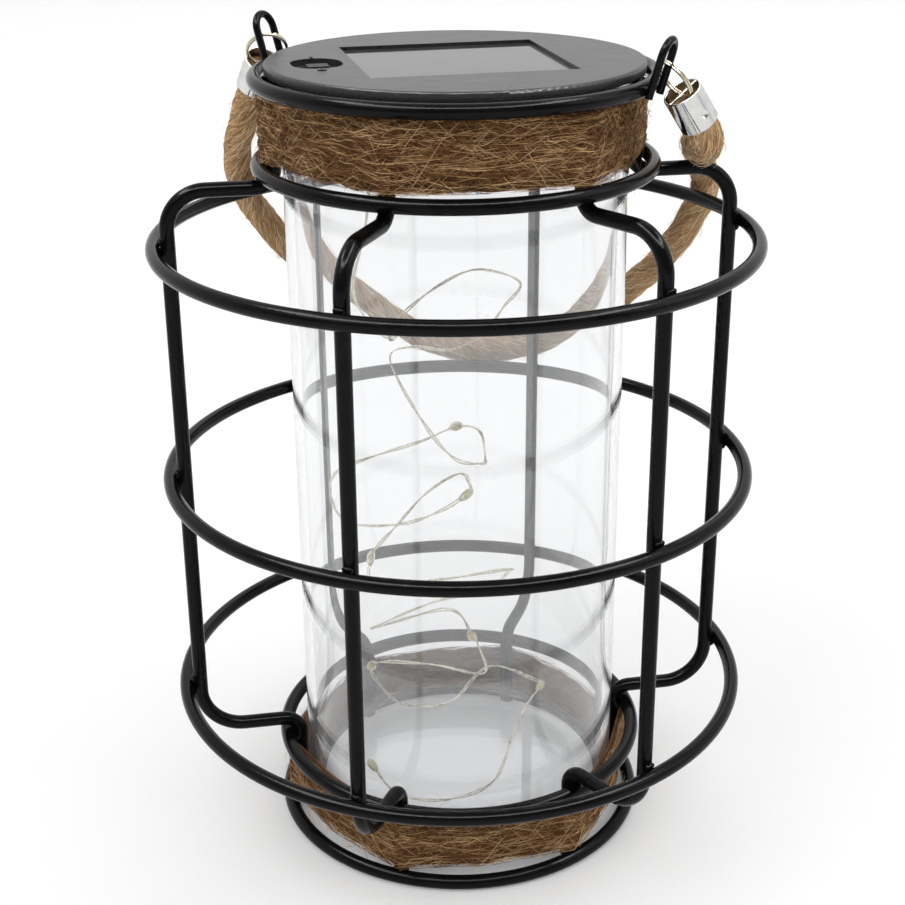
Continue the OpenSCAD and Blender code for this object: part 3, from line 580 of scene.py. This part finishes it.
rib_turn = np.radians(first_rib + rib_step * np.arange(rib_count))
rib_out = np.stack([np.cos(rib_turn), np.sin(rib_turn), 0 * rib_turn], 1)
rib_across = np.stack([-rib_out[:, 1], rib_out[:, 0], 0 * rib_turn], 1)
hoop_r, small_r = 78.0, 49.6
crossings = [
    (hoop_r, 43, 1.9), (hoop_r, 43, -1.9), (hoop_r, 108, 1.9), (hoop_r, 108, -1.9),
    (hoop_r, 173, 1.9), (hoop_r, 173, -1.9), (small_r, 24, 1.7), (small_r, 24, -1.7),
    (small_r, 193.2, 1.7), (small_r, 193.2, -1.7), (small_r, 215.5, -1.7), (small_r, 2, 1.7),
]
spots, ways = [], []
for radius, height, lift in crossings:
    spots += list(rib_out * radius * mm + np.array([0, 0, (height + lift) * mm]))
    ways += list(rib_across)
weld_beads = beads("weld_beads", spots, ways, (1.5 * mm, 0.9 * mm, 1.0 * mm))
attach(weld_beads, "cage")
print("beads:", len(spots))

# %% [markdown]
# ## Split rings
# A split ring is a flat spring wire coiled twice, like a small key ring, with both ends cut off square.
# One ring joins each rope cap to its eyelet. The coil is a helix of two turns with a very small rise,
# carried round the same circle that the solid ring has, whose place and tilt are read from its points.

# %% Two turns of wire
def split_ring(name, solid, wire):
    """A helix of nearly two turns round the solid ring's own circle.

    The circle has the middle of the ring's points, the direction they spread least in as its axis,
    and the middle between their least and greatest distance from it as its radius.
    """
    co = np.empty(len(nodes[solid].data.vertices) * 3)
    nodes[solid].data.vertices.foreach_get("co", co)
    co = np.unique(np.round(co.reshape(-1, 3), 6), axis=0)
    middle = (co.max(0) + co.min(0)) / 2
    _, _, axes = np.linalg.svd(co - co.mean(0), full_matrices=False)
    flat = (co - middle) @ axes.T
    middle = middle + axes.T @ ((flat.max(0) + flat.min(0)) / 2)
    flat = (co - middle) @ axes.T
    far = np.hypot(flat[:, 0], flat[:, 1])
    radius = (far.max() + far.min()) / 2
    turn = np.linspace(0.25, 4 * math.pi - 0.35, 150)
    rise = wire * (turn / (2 * math.pi) - 1) * 0.98
    line = (
        middle + radius * (np.cos(turn)[:, None] * axes[0] + np.sin(turn)[:, None] * axes[1])
        + rise[:, None] * axes[2]
    )
    outward = unit(line - middle - rise[:, None] * axes[2])
    section = np.linspace(0, 2 * math.pi, 12, endpoint=False)
    square = np.abs(np.cos(section)) ** 0.7 * np.sign(np.cos(section))
    tall = np.abs(np.sin(section)) ** 0.7 * np.sign(np.sin(section))
    rings = line[:, None] + wire / 2 * (
        1.25 * square[None, :, None] * outward[:, None] + 0.98 * tall[None, :, None] * axes[2]
    )
    piece = loft(name, rings)
    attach(piece, "handle")
    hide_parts(solid)
    print(name, "radius", round(radius * 1000, 2), "mm")
    return piece


coil_wire = 0.62 * mm
left_coil = split_ring("left_ring_coil", "left_split_ring", coil_wire)
right_coil = split_ring("right_ring_coil", "right_split_ring", coil_wire)

# %% [markdown]
# ## Helpers for finishes
# Every finish starts as one Principled shader. A helper makes a node and takes each of its inputs as a
# keyword: a number sets the socket and another node's output is linked to it. Values that are the same
# all over stay on the shader's own sockets.

# %% Node helpers
def put(material, kind, settings=None, **inputs):
    """A node of that kind. A keyword names an input with _ for its spaces, or is in_ and a number."""
    made = material.node_tree.nodes.new("ShaderNode" + kind)
    for key, value in (settings or {}).items():
        setattr(made, key, value)
    for key, value in inputs.items():
        socket = made.inputs[int(key[3:])] if key.startswith("in_") else made.inputs[key.replace("_", " ")]
        if isinstance(value, bpy.types.NodeSocket):
            material.node_tree.links.new(value, socket)
        else:
            socket.default_value = value
    return made


def finish(name, colour, roughness, **more):
    """A material with one Principled shader, and the plain values of that shader's sockets."""
    material = bpy.data.materials.new(name)
    material.use_nodes = True
    shader = material.node_tree.nodes["Principled BSDF"]
    for key, value in dict(Base_Color=colour, Roughness=roughness, **more).items():
        shader.inputs[key.replace("_", " ")].default_value = value
    return material, shader


def drive(material, shader, **inputs):
    """Links outputs to the shader's sockets."""
    for key, value in inputs.items():
        material.node_tree.links.new(value, shader.inputs[key.replace("_", " ")])


def grain(material, size, detail=3.0, stretch=(1, 1, 1), where="Object"):
    """Noise whose lumps are about size metres across, longer where stretch is below 1."""
    if where == "Object":
        place = put(material, "TexCoord").outputs["Object"]
    else:
        place = put(material, "Attribute", {"attribute_name": where}).outputs["Vector"]
    moved = put(material, "Mapping", Vector=place, Scale=tuple(s / size for s in stretch))
    return put(
        material, "TexNoise", Vector=moved.outputs["Vector"], Scale=1.0, Detail=detail, Roughness=0.55
    ).outputs["Fac"]


def shades(material, factor, stops):
    """A ramp from (place, colour) pairs."""
    ramp = put(material, "ValToRGB", Fac=factor)
    band_of = ramp.color_ramp.elements
    while len(band_of) < len(stops):
        band_of.new(0.5)
    for element, (place, colour) in zip(band_of, stops):
        element.position, element.color = place, (*colour, 1)
    return ramp.outputs["Color"]


def from_to(material, factor, low, high, out_low, out_high):
    """A number moved from one range to another."""
    return put(
        material, "MapRange", Value=factor, From_Min=low, From_Max=high, To_Min=out_low, To_Max=out_high
    ).outputs["Result"]


def calc(material, kind, a, b, c=0.0):
    """One sum on two or three numbers or outputs."""
    return put(material, "Math", {"operation": kind}, in_0=a, in_1=b, in_2=c).outputs[0]


def pass_lamps(material, shader, colour):
    """Sends rays from lamps through a Transparent shader of that colour, and others to the shader."""
    shadow = put(material, "LightPath").outputs["Is Shadow Ray"]
    through = put(material, "BsdfTransparent", Color=colour)
    pane = put(material, "MixShader", in_0=shadow, in_1=shader.outputs[0], in_2=through.outputs[0])
    surface = material.node_tree.nodes["Material Output"].inputs["Surface"]
    material.node_tree.links.new(pane.outputs[0], surface)


def relief(material, height, distance, strength=1.0):
    """A bump from a height, distance metres deep."""
    return put(material, "Bump", Height=height, Distance=distance, Strength=strength).outputs["Normal"]


def wear(names, material):
    """Gives a finish to CAD solids by name, or to made pieces."""
    for item in names:
        target = nodes[item] if isinstance(item, str) else item
        target.data.materials.clear()
        target.data.materials.append(material)


# %% [markdown]
# ## Powder-coated wire
# The cage is steel wire, welded, then sprayed with black powder and baked. The coat is smooth and semi-
# gloss, a little uneven like the skin of an orange, and slightly duller where it ran thin. Noise turns
# into a very shallow bump and into a roughness that wanders round one value.

# %% Black wire
black_wire, shader = finish("black_wire", (0.004, 0.004, 0.0045, 1), 0.3, Specular_IOR_Level=0.1)
skin = grain(black_wire, 0.0011, 2.0)
cloud = grain(black_wire, 0.009, 3.0)
drive(
    black_wire, shader,
    Roughness=from_to(black_wire, cloud, 0.3, 0.7, 0.10, 0.19),
    Base_Color=shades(black_wire, cloud, [(0.3, (0.0022, 0.0022, 0.0025)), (0.75, (0.005, 0.005, 0.0055))]),
    Normal=relief(black_wire, skin, 0.00004),
)
cage_wires = [
    "top_ring", "neck_ring", "upper_hoop", "middle_hoop", "lower_hoop", "base_ring", "foot_ring",
    "jar_rest_ring", "rib_1", "rib_2", "rib_3", "rib_4", "rib_5", "rib_6", "left_eyelet", "right_eyelet",
]
wear(cage_wires + [weld_beads], black_wire)

# %% [markdown]
# ## Jute
# Dry jute runs from pale straw to dark brown, hair by hair. Each fibre has its own number, painted on
# its points, and a ramp turns that into a colour; on the bands that number also holds painted shade,
# lower in the grooves between turns. The twine under the fibres is darker, as it lies in their shade,
# and its noise follows the lay of the strand through a painted vector. The inner side of a band is
# painted paler, as painted light on a side that lies in shade.

# %% Fibres and twine
def fibre_finish(name, stops):
    """Colour by fibre, with a slow change along each one, and a faint sheen."""
    material, shader = finish(name, (0.3, 0.18, 0.09, 1), 0.72, Sheen_Weight=0.04, Specular_IOR_Level=0.12)
    own = put(material, "Attribute", {"attribute_name": "shade"}).outputs["Fac"]
    drift = grain(material, 0.004, 3.0)
    patch = grain(material, 0.012, 2.0)
    both = calc(material, "MULTIPLY_ADD", drift, 0.55, own)
    more = calc(material, "MULTIPLY_ADD", patch, 0.7, both)
    drive(
        material, shader,
        Base_Color=shades(material, from_to(material, more, 0.38, 1.75, 0.0, 1.0), stops),
        Normal=relief(material, grain(material, 0.0004, 2.0), 0.0001, 0.6),
    )
    return material


def twine_finish(name, stretch, stops):
    """Noise drawn out along the strand, read from the painted lay of the piece.

    The inner side of a band gets a paler ramp, as painted light on a side that lies in shade.
    """
    material, shader = finish(name, (0.2, 0.12, 0.05, 1), 0.85, Specular_IOR_Level=0.2)
    hair = grain(material, 0.0004, 4.0, stretch, "lay")
    inner = put(material, "Attribute", {"attribute_name": "inside"}).outputs["Fac"]
    # Painted light: a paler ramp for the band's inner side, which lies in shade.
    inner_painted_light = shades(material, grain(material, 0.003, 4.0, (1, 1, 4)), [
        (0.3, (0.075, 0.032, 0.011)), (0.7, (0.34, 0.18, 0.08))])
    both = put(
        material, "Mix", {"data_type": "RGBA"}, Factor=inner, in_6=shades(material, hair, stops), in_7=inner_painted_light
    ).outputs[2]
    drive(
        material, shader,
        Base_Color=both,
        Normal=relief(material, hair, 0.0006),
    )
    return material


jute_stops = [
    (0.0, (0.004, 0.0015, 0.0005)), (0.32, (0.07, 0.028, 0.008)),
    (0.6, (0.30, 0.145, 0.05)), (1.0, (0.90, 0.62, 0.33)),
]
rope_stops = [
    (0.0, (0.045, 0.02, 0.006)), (0.3, (0.44, 0.25, 0.105)),
    (0.6, (1.0, 0.69, 0.38)), (1.0, (1.0, 0.96, 0.72)),
]
band_fibre = fibre_finish("jute_fibre", jute_stops)
rope_fibre = fibre_finish("rope_fibre", rope_stops)
band_twine = twine_finish("jute_twine", (1, 1, 1), [
    (0.3, (0.012, 0.005, 0.002)), (0.55, (0.11, 0.048, 0.015)), (0.8, (0.26, 0.128, 0.046))])
rope_twine = twine_finish("rope_twine", (0.08, 1, 1), [
    (0.3, (0.14, 0.075, 0.03)), (0.55, (0.50, 0.31, 0.155)), (0.8, (0.82, 0.57, 0.33))])
wear(band_hair, band_fibre)
wear([neck_band, base_band], band_twine)
wear(rope_pieces, rope_fibre)
wear([rope], rope_twine)

# %% [markdown]
# ## Clear glass
# The jar is pressed soda glass with a wall of 2.6 mm. As the solid has that wall, the shader bends and
# reflects light at both faces by itself. Fine dust clings to it in drifts: one noise makes the specks
# and a wider one the drifts. Rays from lamps go through a Transparent shader instead, or the inside
# would be black without caustics.

# %% Glass
clear_glass, shader = finish("clear_glass", (0.955, 0.96, 0.965, 1), 0.0, Transmission_Weight=0.95, IOR=1.5)
dust = calc(clear_glass, "MULTIPLY", grain(clear_glass, 0.0006, 1.0), grain(clear_glass, 0.012, 2.0))
drive(
    clear_glass, shader,
    Transmission_Weight=from_to(clear_glass, dust, 0.44, 0.5, 0.95, 0.8),
    Normal=relief(clear_glass, grain(clear_glass, 0.03, 1.0, (1, 1, 0.25)), 0.00005, 0.5),
)
pass_lamps(clear_glass, shader, (0.93, 0.935, 0.94, 1))
wear(["glass_jar"], clear_glass)

# %% [markdown]
# ## The black lid
# The lid is moulded in black plastic with a satin face. Its top has very fine lines, left by the cutter
# that finished the mould, so it catches light as a soft grey sheen when it is seen at a low angle. The
# lines are noise drawn out in one direction.

# %% Lid plastics
lid_plastic, shader = finish("lid_plastic", (0.012, 0.012, 0.013, 1), 0.3, Specular_IOR_Level=0.5)
lines = grain(lid_plastic, 0.00035, 3.0, (0.03, 1, 1))
drive(
    lid_plastic, shader,
    Roughness=from_to(lid_plastic, lines, 0.3, 0.7, 0.24, 0.42),
    Base_Color=shades(lid_plastic, lines, [(0.3, (0.009, 0.009, 0.0095)), (0.7, (0.026, 0.026, 0.027))]),
    Normal=relief(lid_plastic, lines, 0.00006, 0.7),
)
wear(["lid_shell", "lid_underside", "battery_door"], lid_plastic)


def moulded(name, colour, roughness):
    """Moulded plastic or rubber: a fine even grain, with a colour that changes by about an eighth."""
    material, shader = finish(name, (*colour, 1), roughness)
    fine = grain(material, 0.0006, 2.0)
    broad = grain(material, 0.008, 3.0)
    drive(
        material, shader,
        Base_Color=shades(material, broad, [
            (0.3, tuple(c * 0.85 for c in colour)), (0.7, tuple(min(1, c * 1.12) for c in colour))]),
        Roughness=from_to(material, broad, 0.3, 0.7, roughness * 0.85, min(1, roughness * 1.15)),
        Normal=relief(material, fine, 0.00003),
    )
    return material


wear(["switch_case"], moulded("switch_black", (0.010, 0.010, 0.011), 0.45))
wear(["switch_slider"], moulded("slider_black", (0.022, 0.022, 0.023), 0.38))
wear(["switch_marks"], moulded("mark_black", (0.016, 0.016, 0.017), 0.32))
wear(["lid_seal"], moulded("seal_rubber", (0.55, 0.55, 0.53), 0.6))
wear(["wire_grommet"], moulded("grommet_rubber", (0.03, 0.03, 0.03), 0.7))

# %% [markdown]
# ## Solar cell, window and board
# The cell is a flat grey film behind a clear window, with hair-fine collector lines across it. The
# coordinates are turned with the lid, and a to-and-fro wave of them gives the distance to the nearest
# line, which a ramp cuts off.

# %% Cell and its window
lid_turn, finger_half, gap_half = math.radians(-12.5), 0.00065, 0.0061
solar_cell, shader = finish("solar_cell", (0.36, 0.37, 0.375, 1), 0.42)
place = put(solar_cell, "TexCoord").outputs["Object"]
place = put(solar_cell, "Mapping", Vector=place, Rotation=(0, 0, lid_turn)).outputs["Vector"]
place = put(solar_cell, "SeparateXYZ", Vector=place).outputs
fingers = calc(solar_cell, "PINGPONG", place["X"], finger_half)
gaps = calc(solar_cell, "PINGPONG", place["Y"], gap_half)
line_shade = shades(solar_cell, from_to(solar_cell, fingers, 0.0, 0.00012, 0.0, 1.0), [
    (0.0, (0.44, 0.45, 0.45)), (1.0, (0.36, 0.365, 0.37))])
gap_shade = from_to(solar_cell, gaps, 0.0, 0.00022, 0.82, 1.0)
tint = put(solar_cell, "VectorMath", {"operation": "SCALE"}, in_0=line_shade, Scale=gap_shade)
drive(
    solar_cell, shader, Base_Color=tint.outputs[0],
    Roughness=from_to(solar_cell, grain(solar_cell, 0.004, 3.0), 0.3, 0.7, 0.36, 0.5),
)
wear(["solar_cell"], solar_cell)

panel_window, shader = finish("panel_window", (1, 1, 1, 1), 0.06, Transmission_Weight=1.0, IOR=1.45)
drive(
    panel_window, shader,
    Roughness=from_to(panel_window, grain(panel_window, 0.006, 3.0), 0.3, 0.7, 0.03, 0.12),
)
pass_lamps(panel_window, shader, (0.95, 0.95, 0.95, 1))
wear(["panel_window"], panel_window)

# %% Board, battery and contacts
board, shader = finish("board", (0.02, 0.11, 0.05, 1), 0.4)
tracks = grain(board, 0.0014, 1.0, (1, 0.35, 1))
drive(board, shader, Base_Color=shades(board, tracks, [
    (0.46, (0.012, 0.075, 0.032)), (0.54, (0.03, 0.17, 0.07))]))
wear(["circuit_board"], board)


def metal(name, colour, roughness, size, spread, deep):
    """Bare or plated metal: full metallic, a roughness that wanders, and a very shallow bump."""
    material, shader = finish(name, (*colour, 1), roughness, Metallic=1.0)
    cloud = grain(material, size, 4.0)
    drive(
        material, shader,
        Roughness=from_to(material, cloud, 0.3, 0.7, max(0.02, roughness - spread), roughness + spread),
        Base_Color=shades(material, cloud, [
            (0.3, tuple(c * 0.9 for c in colour)), (0.7, tuple(min(1, c * 1.05) for c in colour))]),
        Normal=relief(material, cloud, deep),
    )
    return material


nickel_contact = metal("nickel_contact", (0.62, 0.60, 0.56), 0.3, 0.002, 0.1, 0.00002)
screw_steel = metal("screw_steel", (0.50, 0.50, 0.51), 0.32, 0.0016, 0.1, 0.00003)
wear(["battery_spring", "battery_contact"], nickel_contact)
wear(["lid_screws", "battery_door_screw"], screw_steel)

battery, shader = finish("battery", (0.05, 0.16, 0.10, 1), 0.35)
sleeve = grain(battery, 0.02, 1.0)
drive(
    battery, shader,
    Base_Color=shades(battery, sleeve, [(0.3, (0.035, 0.13, 0.08)), (0.7, (0.06, 0.20, 0.12))]),
    Normal=relief(battery, grain(battery, 0.003, 2.0), 0.00004),
)
wear(["battery"], battery)

# %% [markdown]
# ## Bright metal and the lights
# The rope caps and split rings are nickel-plated and polished, so they show the white room. The string
# is bare silvered wire, duller than the caps. The resin of the lights is clear with a warm tint, and the
# chip in it is pale yellow.

# %% Caps, rings, string and lights
bright_cap = metal("bright_cap", (0.66, 0.66, 0.65), 0.09, 0.003, 0.05, 0.00003)
wear(["left_rope_cap", "right_rope_cap"], bright_cap)
wear(["left_cap_pin", "right_cap_pin"], metal("pin_nickel", (0.52, 0.49, 0.42), 0.2, 0.001, 0.06, 0.00001))
wear([left_coil, right_coil], metal("ring_nickel", (0.60, 0.55, 0.43), 0.16, 0.001, 0.07, 0.00001))
wear([light_wire], metal("string_silver", (0.76, 0.72, 0.60), 0.28, 0.0015, 0.1, 0.00001))

resin, shader = finish("light_resin", (0.93, 0.93, 0.80, 1), 0.08, Transmission_Weight=0.85, IOR=1.42)
drive(resin, shader, Normal=relief(resin, grain(resin, 0.0015, 2.0), 0.0001))
wear([light_drops], resin)
wear([light_chips], moulded("light_phosphor", (0.80, 0.70, 0.30), 0.5))

# %% [markdown]
# ## Floor, room and lamps
# The lantern stands on a seamless white sweep in a white room. The floor is a wide white sheet, and the
# world is white to the camera and to glass, but dimmer as a lamp, so that black wire stays black.
# Mirrors see the side behind the camera darker, with one bright strip overhead that draws a thin line
# of light along each wire. Three soft panels light the lantern and leave a faint shadow.

# %% Floor
def sweep(x, y):
    """The height of the floor: flat, and rising as a square far behind the lantern."""
    return 0.25 * np.maximum(y - 2.4, 0) ** 2


wide, deep = 41, 46
fx, fy = np.meshgrid(np.linspace(-4, 4, wide), np.linspace(-3, 6, deep), indexing="ij")
floor_points = np.stack([fx, fy, sweep(fx, fy)], -1).reshape(-1, 3)
corner = np.arange(wide - 1)[:, None] * deep + np.arange(deep - 1)[None, :]
floor_faces = np.stack([corner, corner + deep, corner + deep + 1, corner + 1], -1).reshape(-1, 4)
floor = mesh_object("floor", floor_points, floor_faces.tolist())
paper, shader = finish("paper", (0.93, 0.93, 0.93, 1), 0.9, Specular_IOR_Level=0.1)


def seen_directly(material):
    """1 for the camera's rays and for those from a mirror or through glass, and 0 for all others."""
    rays = put(material, "LightPath").outputs
    direct = calc(material, "MAXIMUM", rays["Is Camera Ray"], rays["Is Glossy Ray"])
    return calc(material, "MAXIMUM", direct, rays["Is Transmission Ray"])


drive(
    paper, shader,
    Base_Color=shades(paper, grain(paper, 0.3, 2.0), [
        (0.3, (0.925, 0.925, 0.925)), (0.7, (0.935, 0.935, 0.935))]),
    Emission_Strength=calc(paper, "MULTIPLY", seen_directly(paper), 0.1),
)
shader.inputs["Emission Color"].default_value = (1, 1, 1, 1)
wear([floor], paper)

# %% Room and lamps
room = bpy.data.worlds.new("room")
bpy.context.scene.world = room
room.use_nodes = True
sky = room.node_tree.nodes["Background"]
sky.inputs["Color"].default_value = (1, 1, 1, 1)
strip_light, front_dark = 16.0, -0.7
plain = from_to(room, seen_directly(room), 0, 1, 0.82, 1.0)
way = put(room, "SeparateXYZ", Vector=put(room, "TexCoord").outputs["Generated"]).outputs
front = from_to(room, way["Y"], 0.1, -0.5, 0, 1)
above_low = from_to(room, way["Z"], 0.74, 0.78, 0, 1)
below_high = from_to(room, way["Z"], 0.90, 0.86, 0, 1)
before_back = from_to(room, way["Y"], 0.35, 0.1, 0, 1)
strip = calc(room, "MULTIPLY", calc(room, "MULTIPLY", above_low, below_high), before_back)
rays = put(room, "LightPath").outputs
not_glass = calc(room, "SUBTRACT", 1.0, rays["Is Transmission Ray"])
mirrored = calc(room, "MULTIPLY", rays["Is Glossy Ray"], not_glass)
change = calc(room, "MULTIPLY_ADD", strip, strip_light, calc(room, "MULTIPLY", front, front_dark))
strength = calc(room, "MULTIPLY_ADD", mirrored, change, plain)
room.node_tree.links.new(strength, sky.inputs["Strength"])


lamp_target = np.array([0, 0, 0.11])


def panel_lamp(name, place, size, power):
    """A soft square lamp at a place, facing the middle of the lantern."""
    data = bpy.data.lights.new(name, "AREA")
    data.shape, data.size, data.energy = "SQUARE", size, power
    lamp = bpy.data.objects.new(name, data)
    bpy.context.scene.collection.objects.link(lamp)
    back = unit(np.array(place) - lamp_target)
    side = unit(np.cross((0.01, 0.02, 1), back))
    frame_of = np.eye(4)
    frame_of[:3, 0], frame_of[:3, 1], frame_of[:3, 2] = side, np.cross(back, side), back
    frame_of[:3, 3] = place
    lamp.matrix_world = Matrix(frame_of.tolist())


panel_lamp("key_panel", (-0.9, -0.8, 1.5), 1.1, 7)
panel_lamp("side_panel", (1.3, -0.2, 0.9), 0.9, 3)
panel_lamp("back_panel", (0.2, 1.3, 1.5), 1.2, 4)
